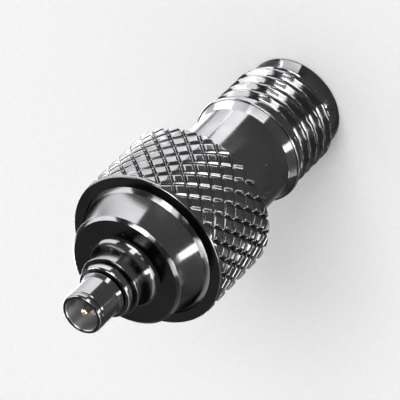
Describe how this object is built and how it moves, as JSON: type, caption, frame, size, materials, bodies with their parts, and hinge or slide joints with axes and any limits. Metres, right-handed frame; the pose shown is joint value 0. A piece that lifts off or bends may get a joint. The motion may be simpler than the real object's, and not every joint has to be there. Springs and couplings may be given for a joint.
{
  "type": "coax adapter",
  "caption": "Turned coaxial adapter: threaded jack with a slotted socket on one end, knurled grip in the middle, push-on micro plug with a split spring ring on the other.",
  "frame": {"origin": "centre of the jack mouth's end face, on the axis of the turned pieces", "axes": "+Z along the axis from the jack mouth up to the tip of the plug nose; +X towards the split of the snap ring"},
  "size_m": [0.0092, 0.0092, 0.0219],
  "materials": {
    "plating": "dark bright nickel plate on turned brass",
    "spring_metal": "dark plated spring bronze",
    "dielectric": "waxy white fluoropolymer",
    "contact_plating": "thin gold plate, satin"
  },
  "bodies": {
    "root": {"jack_body": "plating", "front_barrel": "plating", "plug_nose": "plating", "snap_ring": "spring_metal", "rear_insulator": "dielectric", "front_insulator": "dielectric", "socket_contact": "contact_plating", "centre_pin": "contact_plating"}
  },
  "joints": []
}
